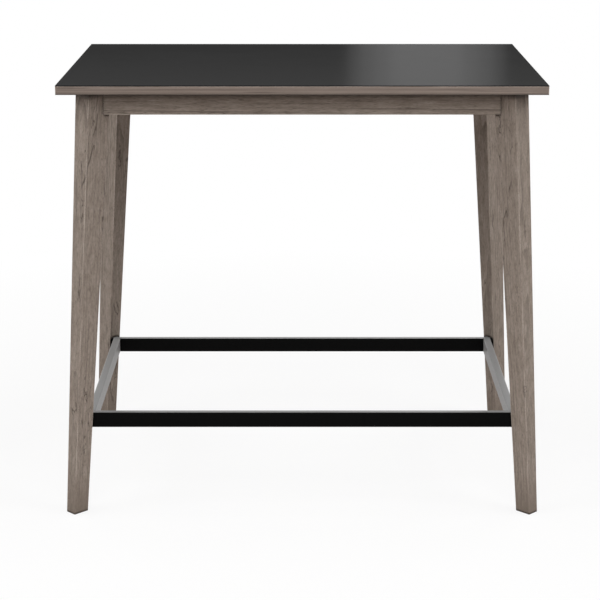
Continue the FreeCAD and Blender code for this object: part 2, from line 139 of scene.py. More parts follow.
IMAGE_SIZE = 600.0                     # pixels, square
FOCAL_LENGTH = 1801.6                  # pixels
SENSOR = 36.0                          # millimetres
CAMERA_PLACE = (-0.005, -4.5485, 1.6935)
CAMERA_PITCH = 15.307                  # degrees below the horizon
CAMERA_REACH = 300.0                   # how far the camera sees

WHITE = (1.0, 1.0, 1.0, 1.0)
BACKGROUND_WHITE = 1.0
AMBIENT = 0.08
AMBIENT_SHADE = (1.0, 0.9, 0.85, 1.0)
FLOOR_SIZE = 120.0
FLOOR_SHADE = (0.52, 0.46, 0.43, 1.0)  # as it lights the table from below
FLOOR_WHITE = (0.97, 0.97, 0.97, 1.0)  # as it is seen
FLOOR_GLOW = 0.85                      # share of the white near the table that no shadow dims
SHADOW_REACH = (0.9, 2.4)              # where the floor begins and ends its turn to plain white

TABLE_MIDDLE = (0.0, 0.0, 0.6)         # what the large lamps are turned to
OPEN_SPREAD = 180.0                    # degrees

# name, place, aim, width, height, power, spread in degrees
FRONT_LAMPS = (
    ("front_softbox", (0.0, -4.2, 3.2), TABLE_MIDDLE, 4.0, 2.4, 96.0, OPEN_SPREAD),
    ("low_front_softbox", (0.0, -2.6, 0.35), (0.0, 0.0, 0.15), 2.0, 0.4, 1.0, 50.0),
)
# one on each side: name, place on the right, width, height, power on the left and on the right
SIDE_LAMPS = (
    ("softbox", (4.0, -0.6, 3.4), 3.0, 2.0, 27.0, 27.0),
    ("high_softbox", (3.2, -0.6, 4.6), 3.0, 2.0, 41.0, 41.0),
    ("front_softbox", (6.3, -3.3, 5.1), 3.6, 3.0, 111.0, 137.0),
    ("back_softbox", (3.6, 2.6, 2.6), 2.4, 2.4, 37.0, 37.0),
)
# strips behind the table, seen as the sheen on the top, brighter towards its middle
SHEEN_STRIPS = ((0.83, 0.184), (0.71, 0.13), (0.55, 0.065), (0.38, 0.051))    # width and power
SHEEN_PLACE = (0.665, 5.0, 1.8)        # of the first strip
SHEEN_STEP = 0.01                      # from each strip to the next, towards the table
SHEEN_AIM = (0.35, 0.0, 1.45)
SHEEN_HEIGHT = 1.0
SHEEN_SPREAD = 32.0                    # degrees


def make_camera():
    data = bpy.data.cameras.new("camera")
    data.sensor_width = SENSOR
    data.lens = FOCAL_LENGTH / IMAGE_SIZE * SENSOR
    data.clip_end = CAMERA_REACH
    camera = bpy.data.objects.new("camera", data)
    camera.location = CAMERA_PLACE
    camera.rotation_euler = (math.radians(90.0 - CAMERA_PITCH), 0.0, 0.0)
    bpy.context.scene.collection.objects.link(camera)
    bpy.context.scene.camera = camera


def seen_directly(tree):
    """1 for what the camera, a mirror or glass sees, and 0 for the light that falls on things."""
    path = add_node(tree, "ShaderNodeLightPath")
    either = calc(tree, "MAXIMUM", path.outputs["Is Camera Ray"], path.outputs["Is Glossy Ray"])
    return calc(tree, "MAXIMUM", either, path.outputs["Is Transmission Ray"])


def mix_shaders(tree, share, first, second):
    inputs = {0: share, 1: first.outputs[0], 2: second.outputs[0]}
    return add_node(tree, "ShaderNodeMixShader", inputs)


def make_backdrop():
    world = bpy.data.worlds.new("studio")
    bpy.context.scene.world = world
    world.use_nodes = True
    tree = world.node_tree
    tree.nodes.clear()
    white = add_node(tree, "ShaderNodeBackground", {"Color": WHITE, "Strength": BACKGROUND_WHITE})
    ambient = add_node(tree, "ShaderNodeBackground",
                       {"Color": AMBIENT_SHADE, "Strength": AMBIENT})
    shown = mix_shaders(tree, seen_directly(tree), ambient, white)
    add_node(tree, "ShaderNodeOutputWorld", {"Surface": shown.outputs[0]})


def make_floor():
    material = bpy.data.materials.new("pale_floor")
    material.use_nodes = True
    tree = material.node_tree
    tree.nodes.clear()
    seen = seen_directly(tree)
    colour = mix_colour(tree, seen, FLOOR_SHADE, FLOOR_WHITE)
    matt = add_node(tree, "ShaderNodeBsdfDiffuse", {"Color": colour})
    glow = add_node(tree, "ShaderNodeEmission", {"Color": WHITE, "Strength": BACKGROUND_WHITE})
    distance = add_node(tree, "ShaderNodeVectorMath", {0: object_place(tree)}, operation="LENGTH")
    lit = remap(tree, distance.outputs["Value"], *SHADOW_REACH, FLOOR_GLOW, 1.0)
    shown = mix_shaders(tree, times(tree, seen, lit), matt, glow)
    clear = add_node(tree, "ShaderNodeBsdfTransparent")     # looked up through from below
    under = add_node(tree, "ShaderNodeNewGeometry").outputs["Backfacing"]
    shown = mix_shaders(tree, under, shown, clear)
    add_node(tree, "ShaderNodeOutputMaterial", {"Surface": shown.outputs[0]})
    half = FLOOR_SIZE / 2.0
    corners = [(-half, -half, 0), (half, -half, 0), (half, half, 0), (-half, half, 0)]
    mesh = bpy.data.meshes.new("floor")
    mesh.from_pydata(corners, [], [(0, 1, 2, 3)])
    mesh.materials.append(material)
    floor = bpy.data.objects.new("floor", mesh)
    bpy.context.scene.collection.objects.link(floor)


def softbox(name, place, aim, width, height, power, spread):
    """A rectangular lamp turned to its aim, which the camera doesn't see."""
    data = bpy.data.lights.new(name, "AREA")
    data.shape = "RECTANGLE"
    data.size = width
    data.size_y = height
    data.energy = power
    data.spread = math.radians(spread)
    lamp = bpy.data.objects.new(name, data)
    lamp.visible_camera = False
    lamp.location = place
    lamp.rotation_euler = (Vector(aim) - Vector(place)).to_track_quat("-Z", "Y").to_euler()
    bpy.context.scene.collection.objects.link(lamp)


def make_lights():
    for lamp in FRONT_LAMPS:
        softbox(*lamp)
    for side, turn in (("left", -1), ("right", 1)):
        for name, (x, y, z), width, height, left_power, right_power in SIDE_LAMPS:
            power = left_power if side == "left" else right_power
            softbox(side + "_" + name, (turn * x, y, z), TABLE_MIDDLE, width, height, power,
                    OPEN_SPREAD)
    x, y, z = SHEEN_PLACE
    for layer, (width, power) in enumerate(SHEEN_STRIPS):
        softbox("top_sheen_%d" % layer, (x, y - SHEEN_STEP * layer, z), SHEEN_AIM,
                width, SHEEN_HEIGHT, power, SHEEN_SPREAD)


# ---------------------------------------------------------------- shared finishes

# marks of the grain to a metre, along it and across it
DRIFT_MARKS = (2.2, 9.0)               # how the grain wanders
RING_MARKS = (1.5, 70.0)               # where the rings are strong or weak
MOTTLE_MARKS = (30.0, 120.0)
FIBRE_MARKS = (60.0, 340.0)
PORE_MARKS = (130.0, 1100.0)
CHECK_MARKS = (3.0, 24.0)
CHECK_WOBBLE_MARKS = (16.0, 50.0)
CHECK_PATCH_MARKS = (9.0, 30.0)        # where checks are found
TONE_MARKS = (2.5, 26.0)

WANDER_REACH = 3.0                     # noise keeps near its middle, so this draws it out
RING_TILT = 0.02                       # of the board to the log it was cut from
RING_FADE = 4.0                        # how steeply a ring's two sides fade
FOOT_SHADE_UNEVENNESS = 0.05                # metres
FOOT_SHADE_FULL = 0.02                      # height up to which a foot is fully darkened by the painted shade


def new_group(name, numbers, outputs, vector=False):
    """A shader node group of named numbers in and out, with a vector first where it takes one."""
    tree = bpy.data.node_groups.new(name, "ShaderNodeTree")
    if vector:
        tree.interface.new_socket("Vector", in_out="INPUT", socket_type="NodeSocketVector")
    for label, default in numbers.items():
        socket = tree.interface.new_socket(label, in_out="INPUT", socket_type="NodeSocketFloat")
        socket.default_value = default
    for label in outputs:
        tree.interface.new_socket(label, in_out="OUTPUT", socket_type="NodeSocketFloat")
    return tree, tree.nodes.new("NodeGroupInput").outputs, tree.nodes.new("NodeGroupOutput").inputs


def drawn_out(tree, place, marks):
    """A place scaled to so many marks to a metre along the grain and across it."""
    along, across = marks
    return vector_calc(tree, "MULTIPLY", place, (along, across, across))


def grain_noise(tree, place, marks, detail, roughness=0.5):
    return noise(tree, drawn_out(tree, place, marks), 1.0, detail, roughness)


def wood_grain_group():
    """Wood cut from a log: growth rings, mottle, fibres, pores and fine drying checks.

    The vector is in metres, with its X along the grain.
    """
    tree, given, out = new_group(
        "wood_grain", {"Ring Spacing": 0.007, "Pith Distance": 0.05, "Wander": 0.012},
        ("Late Wood", "Early Wood", "Mottle", "Fibre", "Pores", "Checks", "Tone"), vector=True)
    place = given["Vector"]
    drift = add_node(tree, "ShaderNodeTexNoise",
                     {"Vector": drawn_out(tree, place, DRIFT_MARKS), "Scale": 1.0, "Detail": 3.0})
    drift = vector_calc(tree, "SUBTRACT", drift.outputs["Color"], (0.5, 0.5, 0.5))
    reach = times(tree, given["Wander"], WANDER_REACH)
    pushed = add_node(tree, "ShaderNodeVectorMath", {0: drift, "Scale": reach}, operation="SCALE")
    bent = vector_calc(tree, "ADD", place, pushed.outputs[0])

    # growth rings: each one fades from pale early wood to a thin dark line of late wood
    parts = add_node(tree, "ShaderNodeSeparateXYZ", {0: bent}).outputs
    across = calc(tree, "ADD", parts["Y"], given["Pith Distance"])
    across = calc(tree, "MULTIPLY_ADD", parts["X"], RING_TILT, across)
    squares = calc(tree, "ADD", times(tree, across, across), times(tree, parts["Z"], parts["Z"]))
    turns = calc(tree, "DIVIDE", calc(tree, "SQRT", squares), given["Ring Spacing"])
    saw = calc(tree, "FRACT", turns)
    strength = remap(tree, grain_noise(tree, bent, RING_MARKS, detail=2.0), 0.38, 0.62)
    line = remap(tree, saw, 0.95, 1.0, 1.0, 0.0)
    late = times(tree, calc(tree, "POWER", saw, RING_FADE), line)
    early = calc(tree, "POWER", less(tree, 1.0, saw), RING_FADE)
    tree.links.new(times(tree, late, strength), out["Late Wood"])
    tree.links.new(times(tree, early, strength), out["Early Wood"])

    mottle = grain_noise(tree, bent, MOTTLE_MARKS, detail=5.0, roughness=0.68)
    fibre = grain_noise(tree, bent, FIBRE_MARKS, detail=4.0, roughness=0.8)
    pores = grain_noise(tree, bent, PORE_MARKS, detail=1.0)
    tone = grain_noise(tree, place, TONE_MARKS, detail=3.0, roughness=0.55)
    tree.links.new(remap(tree, mottle, 0.33, 0.67), out["Mottle"])
    tree.links.new(remap(tree, fibre, 0.3, 0.7), out["Fibre"])
    tree.links.new(remap(tree, pores, 0.58, 0.68), out["Pores"])
    tree.links.new(remap(tree, tone, 0.3, 0.7), out["Tone"])

    # checks follow the edges of long cells, and only here and there
    wobble = grain_noise(tree, place, CHECK_WOBBLE_MARKS, detail=3.0)
    wobble = add_node(tree, "ShaderNodeCombineXYZ", {0: 0.0, 1: wobble, 2: wobble}).outputs[0]
    cells = vector_calc(tree, "ADD", drawn_out(tree, bent, CHECK_MARKS), wobble)
    gap = add_node(tree, "ShaderNodeTexVoronoi", {"Vector": cells, "Scale": 1.0},
                   feature="DISTANCE_TO_EDGE").outputs["Distance"]
    check = remap(tree, gap, 0.0, 0.03, 1.0, 0.0)
    patches = grain_noise(tree, place, CHECK_PATCH_MARKS, detail=1.0)
    tree.links.new(times(tree, check, remap(tree, patches, 0.57, 0.61)), out["Checks"])
    return tree


def edge_rub_group():
    """1 on the worn arrises of a piece and 0 on its faces."""
    tree, given, out = new_group("edge_rub", {"Width": 0.002, "Patchiness": 60.0}, ("Rub",))
    rounded = add_node(tree, "ShaderNodeBevel", {"Radius": given["Width"]}, samples=4).outputs[0]
    facing = add_node(tree, "ShaderNodeVectorMath", {0: rounded, 1: true_normal(tree)},
                      operation="DOT_PRODUCT")
    edge = remap(tree, facing.outputs["Value"], 0.995, 0.9)
    patches = noise(tree, object_place(tree), given["Patchiness"], detail=3.0)
    tree.links.new(times(tree, edge, remap(tree, patches, 0.36, 0.56)), out["Rub"])
    return tree


def foot_shade_group():
    """1 on the lowest part of a leg, fading out upwards, where painted shade darkens it near the
    floor.
    """
    tree, given, out = new_group("foot_shade", {"Reach": 0.12}, ("Foot Shade",))
    place = object_place(tree)
    uneven = noise(tree, place, scale=30.0, detail=3.0)
    level = calc(tree, "MULTIPLY_ADD", uneven, FOOT_SHADE_UNEVENNESS, part_of(tree, place, "Z"))
    tree.links.new(remap(tree, level, given["Reach"], FOOT_SHADE_FULL), out["Foot Shade"])
    return tree


def seam_occlusion_shade_group():
    """Painted shade: 1 in a seam or an inner corner, where ambient occlusion finds nearby
    surfaces, and 0 on open faces.
    """
    tree, given, out = new_group("seam_occlusion_shade", {"Reach": 0.005}, ("Shade",))
    openness = add_node(tree, "ShaderNodeAmbientOcclusion", {"Distance": given["Reach"]},
                        samples=8).outputs["AO"]
    tree.links.new(remap(tree, openness, 0.96, 0.72), out["Shade"])
    return tree


def speckle_group():
    """Fine even unevenness of a sprayed, pressed or plated face, with faint handling marks."""
    tree, given, out = new_group(
        "speckle", {"Grain Size": 0.0006, "Mark Size": 0.06}, ("Fine", "Marks"))
    place = object_place(tree)
    fine = noise(tree, place, calc(tree, "DIVIDE", 1.0, given["Grain Size"]), detail=2.0)
    marks = noise(tree, place, calc(tree, "DIVIDE", 1.0, given["Mark Size"]),
                  detail=4.0, roughness=0.6, distortion=0.4)
    tree.links.new(remap(tree, fine, 0.3, 0.7), out["Fine"])
    tree.links.new(remap(tree, marks, 0.35, 0.7), out["Marks"])
    return tree


WOOD_GRAIN = wood_grain_group()
EDGE_RUB = edge_rub_group()
FOOT_SHADE = foot_shade_group()
SEAM_OCCLUSION_SHADE = seam_occlusion_shade_group()
SPECKLE = speckle_group()


def use_group(tree, group, **inputs):
    """The outputs of a shared finish, its inputs given by name."""
    inputs = {label.replace("_", " "): value for label, value in inputs.items()}
    return add_node(tree, "ShaderNodeGroup", inputs, node_tree=group).outputs


def new_material(name, **constants):
    """A material with one Principled shader; constants go straight on its sockets."""
    material = bpy.data.materials.new(name)
    material.use_nodes = True
    tree = material.node_tree
    shader = tree.nodes["Principled BSDF"]
    for label, value in constants.items():
        shader.inputs[label.replace("_", " ")].default_value = value
    return material, tree, shader


def coat(tree, shader, colour, roughness, height, distance, strength=1.0):
    """Gives the shader its colour, its roughness and a relief of so many metres."""
    inputs = {"Height": height, "Distance": distance, "Strength": strength}
    relief = add_node(tree, "ShaderNodeBump", inputs).outputs[0]
    tree.links.new(colour, shader.inputs["Base Color"])
    tree.links.new(roughness, shader.inputs["Roughness"])
    tree.links.new(relief, shader.inputs["Normal"])


# ---------------------------------------------------------------- wood

# colours of a wood: its rubbed arrises, pale, middle and dark wood, and its thin dark lines
STAIN = (rgb(204, 194, 184), rgb(183, 172, 162), rgb(165, 154, 144), rgb(123, 112, 102),
         rgb(60, 51, 45))
EDGE_STAIN = (rgb(190, 178, 169), rgb(160, 148, 139), rgb(144, 132, 123), rgb(112, 100, 92),
              rgb(66, 56, 50))
BARE = (rgb(222, 196, 158), rgb(214, 184, 142), rgb(203, 168, 122), rgb(176, 136, 90),
        rgb(120, 84, 52))
# painted shade for seams and inner corners, under the top and along a lipping's lower edge
SEAM_SHADE = rgb(40, 34, 30)

LEG_WOOD = {"colours": STAIN, "roughness": 0.52,
            "ring_spacing": 0.0085, "pith_distance": 0.045, "wander": 0.012}
APRON_WOOD = {"colours": STAIN, "roughness": 0.52,
              "ring_spacing": 0.011, "pith_distance": 0.0648, "wander": 0.002,
              "ring_depth": 0.8, "stretch": 1.8}
LIPPING_WOOD = {"colours": EDGE_STAIN, "roughness": 0.5,
                "ring_spacing": 0.0096, "pith_distance": 0.1167, "wander": 0.0,
                "ring_depth": 0.8, "check_depth": 0.0, "mottle_depth": 0.5, "stretch": 24.0}
BLOCK_WOOD = {"colours": BARE, "roughness": 0.6,
              "ring_spacing": 0.004, "pith_distance": 0.03, "wander": 0.005}

# how far the grain is moved along each piece, in the order of the corners or the sides
LEG_SLIDES = (1.11, 2.81, 4.51, 7.32)
APRON_SLIDES = (5.0, 7.3, 9.6, 11.9)
LIPPING_SLIDES = (15.0, 17.9, 20.8, 23.7)
BLOCK_SLIDES = (30.0, 30.9, 31.8, 32.7)

# how far each mark of the grain takes the colour over to its own
TONE_DEPTH = 0.5
EARLY_WOOD_SHARE = 0.6                 # of the rings' depth
FIBRE_DEPTH = 0.4
PORE_DEPTH = 0.5

WOOD_GLOSS = 0.15
PORE_ROUGHNESS = 0.12
FIBRE_ROUGHNESS = 0.06
WOOD_RELIEF = 0.00018                  # metres
CHECK_RELIEF = 1.6                     # times as deep as the pores
FIBRE_RELIEF = 0.25                    # of the pores' depth

RUB_WIDTH = 0.0036
RUB_PATCHINESS = 8.0
HALO_WIDTH = 0.009                     # of the dark line beside a rubbed arris, on faces turned to the right
HALO_DEPTH = 0.4
FOOT_SHADE_REACH = 0.13                     # above the floor
SEAM_REACH = 0.009
SEAM_DEPTH = 0.9
UNDER_TOP_SHADE = (0.0185, 0.0055)     # below the top, where its painted shadow starts and is full
LOWER_ARRIS_SHADE = (0.0021, 0.0014)   # painted shade in the same way, above a lipping's lower edge

LEG_END = 0.002                        # depth of a leg's end, to find its middle


def grain_frame(axis, width_direction, centre):
    """The turn and shift that lay a piece's grain along X about its own centre."""
    along = Vector(axis).normalized()
    through = along.cross(Vector(width_direction)).normalized()
    across = through.cross(along)
    turn = Matrix((along, across, through))
    return turn.to_euler("XYZ"), -(turn @ Vector(centre))


def wood_material(name, axis, width_direction, centre, slide, colours, roughness,
                  ring_spacing, pith_distance, wander, ring_depth=0.6, check_depth=0.8,
                  mottle_depth=0.8, stretch=1.0, shaded_band=None):
    """Stained or bare wood, its grain along the axis.

    Slide moves the grain along the piece, so that no two are alike, and stretch draws it out.
    Painted shade also darkens it from the first height of a shaded band to the second.
    """
    material, tree, shader = new_material(name, Specular_IOR_Level=WOOD_GLOSS)
    turn, shift = grain_frame(axis, width_direction, centre)
    place = object_place(tree)
    inputs = {"Vector": place, "Rotation": turn, "Location": shift + Vector((slide, 0.0, 0.0))}
    mapped = add_node(tree, "ShaderNodeMapping", inputs).outputs[0]
    mapped = vector_calc(tree, "MULTIPLY", mapped, (1.0 / stretch, 1.0, 1.0))
    grain = use_group(tree, WOOD_GRAIN, Vector=mapped, Ring_Spacing=ring_spacing,
                      Pith_Distance=pith_distance, Wander=wander)
    rubbed, pale, body, dark, line = colours
    for mark, depth, shade in (
            ("Tone", TONE_DEPTH, pale),
            ("Mottle", mottle_depth, dark),
            ("Early Wood", ring_depth * EARLY_WOOD_SHARE, pale),
            ("Late Wood", ring_depth, line),
            ("Fibre", FIBRE_DEPTH, dark),
            ("Pores", PORE_DEPTH, line),
            ("Checks", check_depth, line)):
        body = mix_colour(tree, times(tree, grain[mark], depth), body, shade)

    # an arris rubbed pale, and a dark line beside it on faces turned to the right
    beside = use_group(tree, EDGE_RUB, Width=HALO_WIDTH, Patchiness=RUB_PATCHINESS)["Rub"]
    right = remap(tree, part_of(tree, true_normal(tree), "X"), 0.2, 0.4)
    beside = times(tree, beside, times(tree, right, HALO_DEPTH))
    body = mix_colour(tree, beside, body, line)
    rub = use_group(tree, EDGE_RUB, Width=RUB_WIDTH, Patchiness=RUB_PATCHINESS)["Rub"]
    body = mix_colour(tree, rub, body, rubbed)
    # painted shade: the lowest part of each leg is darkened near the floor
    foot_shade_share = use_group(tree, FOOT_SHADE, Reach=FOOT_SHADE_REACH)["Foot Shade"]
    body = mix_colour(tree, foot_shade_share, body, dark)
    # painted shade in seams and inner corners, and in the band below the top or above a lipping's
    # lower edge
    painted_shade = use_group(tree, SEAM_OCCLUSION_SHADE, Reach=SEAM_REACH)["Shade"]
    if shaded_band is not None:
        height = part_of(tree, place, "Z")
        painted_shade = calc(tree, "MAXIMUM", painted_shade, remap(tree, height, *shaded_band))
    body = mix_colour(tree, times(tree, painted_shade, SEAM_DEPTH), body, SEAM_SHADE)

    rough = calc(tree, "MULTIPLY_ADD", grain["Pores"], PORE_ROUGHNESS, roughness)
    rough = calc(tree, "MULTIPLY_ADD", grain["Fibre"], FIBRE_ROUGHNESS, rough)
    sunk = calc(tree, "MULTIPLY_ADD", grain["Checks"], CHECK_RELIEF, grain["Pores"])
    relief = calc(tree, "MULTIPLY_ADD", grain["Fibre"], -FIBRE_RELIEF, less(tree, 0.0, sunk))
    coat(tree, shader, body, rough, relief, WOOD_RELIEF)
    return material


def long_axis(node):
    """The middle of a leg's lower and upper ends."""
    mesh = nodes[node].data
    points = np.empty(len(mesh.vertices) * 3)
    mesh.vertices.foreach_get("co", points)
    points = points.reshape(-1, 3)
    low = points[points[:, 2] < points[:, 2].min() + LEG_END]
    high = points[points[:, 2] > points[:, 2].max() - LEG_END]
    return [Vector((end.min(0) + end.max(0)) / 2.0) for end in (low, high)]


def middle_of(node):
    low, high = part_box(node)
    return (low + high) / 2.0


def set_material(node, material):
    mesh = nodes[node].data
    mesh.materials.clear()
    mesh.materials.append(material)


def finish_wood():
    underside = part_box("apron_front")[1].z
    under_top = [underside - depth for depth in UNDER_TOP_SHADE]
    for corner, slide in zip(CORNERS, LEG_SLIDES):
        leg = "leg_" + corner
        foot, head = long_axis(leg)
        outward = (math.copysign(1, foot.x), math.copysign(1, foot.y), 0.0)
        set_material(leg, wood_material("stained_" + leg, head - foot, outward, foot, slide,
                                        shaded_band=under_top, **LEG_WOOD))
    for side, apron_slide, lipping_slide in zip(SIDES, APRON_SLIDES, LIPPING_SLIDES):
        along = (1.0, 0.0, 0.0) if side in ("front", "back") else (0.0, 1.0, 0.0)
        apron = "apron_" + side
        set_material(apron, wood_material("stained_" + apron, along, UP, middle_of(apron),
                                          apron_slide, shaded_band=under_top, **APRON_WOOD))
        lipping = "lipping_" + side
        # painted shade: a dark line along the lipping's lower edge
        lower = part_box(lipping)[0].z
        lower_arris = [lower + height for height in LOWER_ARRIS_SHADE]
        set_material(lipping, wood_material("stained_" + lipping, along, UP, middle_of(lipping),
                                            lipping_slide, shaded_band=lower_arris,
                                            **LIPPING_WOOD))
    for corner, slide in zip(CORNERS, BLOCK_SLIDES):
        centre = middle_of("corner_block_" + corner)
        along = (math.copysign(1, centre.x), -math.copysign(1, centre.y), 0.0)
        set_material("corner_block_" + corner, wood_material(
            "bare_block_" + corner, along, UP, centre, slide, **BLOCK_WOOD))


# ---------------------------------------------------------------- board, metal and plastic

CHIPS = 420.0                          # to a metre
TOP_DEPTH = (0.38, -0.38)              # from the back of the top to the front

METAL_MARK_SIZE = 0.05
METAL_RUB_WIDTH = 0.001
METAL_MARK_ROUGHNESS = 0.07            # what handling marks add
METAL_GRAIN_ROUGHNESS = 0.04
BLACK_OXIDE, WORN_OXIDE = (0.012, 0.012, 0.012, 1.0), (0.1, 0.1, 0.1, 1.0)
POWDER_BLACK, POWDER_SHEEN = (0.005, 0.005, 0.005, 1.0), (0.5, 0.5, 0.5, 1.0)
POWDER_WORN = (0.05, 0.05, 0.05, 1.0)
POWDER_TINT = (0.4, 0.4, 0.4, 1.0)
POWDER_SLANT = (0.51, 0.74)            # where the painted sheen starts and is full


def black_laminate():
    material, tree, shader = new_material("black_laminate", Specular_IOR_Level=0.0,
                                          Coat_Weight=0.036, Coat_Roughness=0.16, Coat_IOR=1.5)
    speck = use_group(tree, SPECKLE, Grain_Size=0.0012, Mark_Size=0.16)
    body = mix_colour(tree, speck["Marks"], rgb(36, 36, 36), rgb(40, 40, 40))
    # painted light: a little paler towards the front, where more light falls on it
    front = remap(tree, part_of(tree, object_place(tree), "Y"), *TOP_DEPTH)
    body = mix_colour(tree, front, body, rgb(51, 51, 51))
    # the cut edge of the sheet shows its black core
    upward = remap(tree, part_of(tree, true_normal(tree), "Z"), 0.3, 0.7)
    body = mix_colour(tree, upward, rgb(12, 12, 12), body)
    rough = between(tree, speck["Fine"], 0.38, 0.46)
    coat(tree, shader, body, rough, speck["Fine"], distance=0.00002, strength=0.5)
    return material


def particle_board():
    material, tree, shader = new_material("particle_board")
    chips = add_node(tree, "ShaderNodeTexVoronoi", {"Vector": object_place(tree), "Scale": CHIPS})
    shade = add_node(tree, "ShaderNodeSeparateColor", {0: chips.outputs["Color"]}).outputs[0]
    body = mix_colour(tree, shade, rgb(150, 118, 82), rgb(206, 176, 132))
    rough = between(tree, shade, 0.7, 0.9)
    coat(tree, shader, body, rough, chips.outputs["Distance"], distance=0.0002)
    return material


def backing_sheet():
    material, tree, shader = new_material("backing_sheet")
    speck = use_group(tree, SPECKLE, Grain_Size=0.0015, Mark_Size=0.12)
    body = mix_colour(tree, speck["Marks"], rgb(70, 66, 62), rgb(86, 81, 76))
    body = mix_colour(tree, times(tree, speck["Fine"], 0.2), body, rgb(104, 98, 92))
    rough = between(tree, speck["Fine"], 0.6, 0.75)
    coat(tree, shader, body, rough, speck["Fine"], distance=0.00004)
    return material


def nylon():
    material, tree, shader = new_material("glide_nylon")
    speck = use_group(tree, SPECKLE, Grain_Size=0.0008, Mark_Size=0.01)
    body = mix_colour(tree, speck["Marks"], rgb(30, 30, 30), rgb(44, 43, 42))
    rough = between(tree, speck["Fine"], 0.35, 0.5)
    coat(tree, shader, body, rough, speck["Fine"], distance=0.00003)
    return material


def coat_metal(tree, shader, colour, worn, wear, grain_size, roughness):
    """A metal's colour worn at its edges, and its roughness without and with handling marks."""
    speck = use_group(tree, SPECKLE, Grain_Size=grain_size, Mark_Size=METAL_MARK_SIZE)
    rub = use_group(tree, EDGE_RUB, Width=METAL_RUB_WIDTH)["Rub"]
    body = mix_colour(tree, times(tree, rub, wear), colour, worn)
    rough = between(tree, speck["Marks"], *roughness)
    rough = calc(tree, "MULTIPLY_ADD", speck["Fine"], METAL_GRAIN_ROUGHNESS, rough)
    coat(tree, shader, body, rough, speck["Fine"], distance=0.00002, strength=0.4)


def bare_metal(name, colour, worn, roughness, grain_size):
    material, tree, shader = new_material(name, Metallic=1.0)
    coat_metal(tree, shader, colour, worn, wear=0.5, grain_size=grain_size,
               roughness=(roughness, roughness + METAL_MARK_ROUGHNESS))
    return material


def powder_coat():
    """Black powder coat on steel: dead black face on, with a painted satin sheen that turns its
    colour pale at a slant.
    """
    material, tree, shader = new_material("black_steel", Metallic=0.5, Specular_IOR_Level=0.0,
                                          Specular_Tint=POWDER_TINT)
    # painted sheen: the base colour turns pale where a face is seen at a slant
    slant = add_node(tree, "ShaderNodeLayerWeight", {"Blend": 0.5}).outputs["Facing"]
    body = mix_colour(tree, remap(tree, slant, *POWDER_SLANT), POWDER_BLACK, POWDER_SHEEN)
    coat_metal(tree, shader, body, POWDER_WORN, wear=0.3, grain_size=0.0009,
               roughness=(0.28, 0.34))
    return material


# ---------------------------------------------------------------- fasteners

BLOCK_SCREW = {"Shank": 0.0040, "Head": 0.0075, "Length": 0.028}
TOP_SCREW = {"Shank": 0.0045, "Head": 0.0085, "Length": 0.058}
BRACKET_SCREW = {"Shank": 0.0035, "Head": 0.0070, "Length": 0.015}
PLATE_SCREW = {"Shank": 0.0050, "Head": 0.0100, "Length": 0.025}

# wood screws: shares of the shank, except where another size is named
WOOD_CORE = 0.36                       # radius under a wood thread
WOOD_RIDGE = 0.15                      # radius of a wood thread's ridge
SCREW_PITCH = 0.45
SCREW_POINT = 0.03                     # radius of the very point
RECESS = (0.56, 0.11, 0.34)            # long, wide and high, of the head
SMOOTH_LENGTH = 0.35                   # without thread, of the length

# hanger bolts: shares of the diameter, except where another size is named
BOLT_DIAMETER = 0.008
MACHINE_PITCH = 0.00125
WOOD_PITCH = 0.003
MACHINE_ROOT = 0.43                    # radius under the machine thread
MACHINE_RIDGE = 0.48                   # radius of its ridge, of its pitch
MACHINE_LENGTH = 0.34                  # of the length
WOOD_START = 0.52                      # of the length
BOLT_CHAMFER = 0.1
BOLT_POINT = 0.05                      # radius of the very point

NUT = {"Across Flats": 0.013, "Thickness": 0.0065, "Bore": BOLT_DIAMETER}
NUT_FACE = 0.485                       # radius of its chamfered face, of its width
WASHER = {"Outer Diameter": 0.020, "Inner Diameter": 0.009, "Thickness": 0.0016}
GLIDE = {"Diameter": 0.022, "Thickness": 0.0015, "Nail": 0.0025, "Nail Length": 0.016}
GLIDE_HOLE = 0.9                       # of its nail's thickness
NAIL_POINT = 0.9                       # length of the point, of the nail's thickness
NAIL_TIP = 0.1                         # radius of the very point, of the nail's
NAIL_START = 0.4                       # height in the disc, of the disc's thickness

ROUND = 32                             # flats round a turned part
RING_STEPS = 48                        # flats round a washer or a glide
THREAD_STEPS = 14                      # flats to each turn of a thread
ROUNDING = 0.35                        # of a flat ring's edges, of its thickness
ROUNDING_STEPS = 3
SHARP_ANGLE = 35.0                     # degrees at which two flats meet in a sharp edge

JOIN_DISTANCE = 1e-6                   # between corner points that are one
END_DEPTH = 1e-4                       # of a turned solid's ends


def fastener_tree(name, sizes):
    """A geometry node tree that takes points, a material and named sizes in metres."""
    tree = bpy.data.node_groups.new(name, "GeometryNodeTree")
    tree.is_modifier = True
    tree.interface.new_socket("Geometry", in_out="INPUT", socket_type="NodeSocketGeometry")
    tree.interface.new_socket("Material", in_out="INPUT", socket_type="NodeSocketMaterial")
    for label in sizes:
        tree.interface.new_socket(label, in_out="INPUT", socket_type="NodeSocketFloat")
    tree.interface.new_socket("Geometry", in_out="OUTPUT", socket_type="NodeSocketGeometry")
    return tree, tree.nodes.new("NodeGroupInput").outputs


def lifted(tree, geometry, height):
    """Geometry moved up its own axis."""
    place = add_node(tree, "ShaderNodeCombineXYZ", {2: height}).outputs[0]
    inputs = {"Geometry": geometry, "Translation": place}
    return add_node(tree, "GeometryNodeTransform", inputs).outputs[0]


def frustum(tree, lower, upper, height, base):
    """A closed round body that stands on its base height."""
    inputs = {"Vertices": ROUND, "Radius Bottom": lower, "Radius Top": upper, "Depth": height}
    return lifted(tree, add_node(tree, "GeometryNodeMeshCone", inputs).outputs["Mesh"], base)


